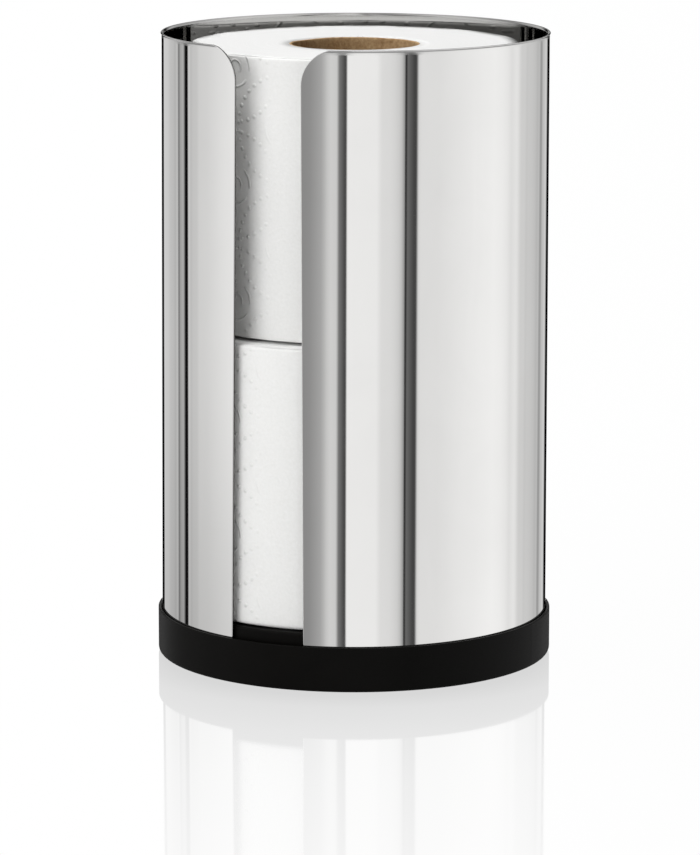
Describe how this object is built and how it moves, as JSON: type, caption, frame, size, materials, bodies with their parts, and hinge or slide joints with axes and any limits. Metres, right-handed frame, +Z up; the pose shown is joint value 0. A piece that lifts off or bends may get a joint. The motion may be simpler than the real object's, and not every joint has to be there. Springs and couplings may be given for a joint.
{
  "type": "paper roll holder",
  "caption": "Upright polished-steel canister on a round black base, slotted from rim to foot, that stores tissue rolls stacked one on the other.",
  "frame": {"origin": "centre of the footprint at the floor, under the middle of the base, on the plane that the pads stand on", "axes": "+Z up along the canister's axis; the slot in the shell faces -Y; +X is to the right of a person facing the slot"},
  "size_m": [0.1384, 0.1384, 0.219],
  "materials": {
    "polished_steel": "polished",
    "black_plastic": "satin",
    "pad_rubber": "matte",
    "core_board": "matte",
    "tissue": "matte"
  },
  "bodies": {
    "holder": {"shell": "polished_steel", "base": "black_plastic", "bottom_plate": "black_plastic", "foot_front": "pad_rubber", "foot_back": "pad_rubber", "foot_left": "pad_rubber", "foot_right": "pad_rubber"},
    "lower_roll": {"lower_roll_core": "core_board", "lower_roll_paper": "tissue"},
    "upper_roll": {"upper_roll_core": "core_board", "upper_roll_paper": "tissue"}
  },
  "joints": [
    {"name": "lower_roll_lift", "type": "slide", "parent": "holder", "child": "lower_roll", "axis": [0, 0, 1], "range_m": [0, 0.205]},
    {"name": "upper_roll_lift", "type": "slide", "parent": "lower_roll", "child": "upper_roll", "axis": [0, 0, 1], "range_m": [0, 0.105]}
  ]
}
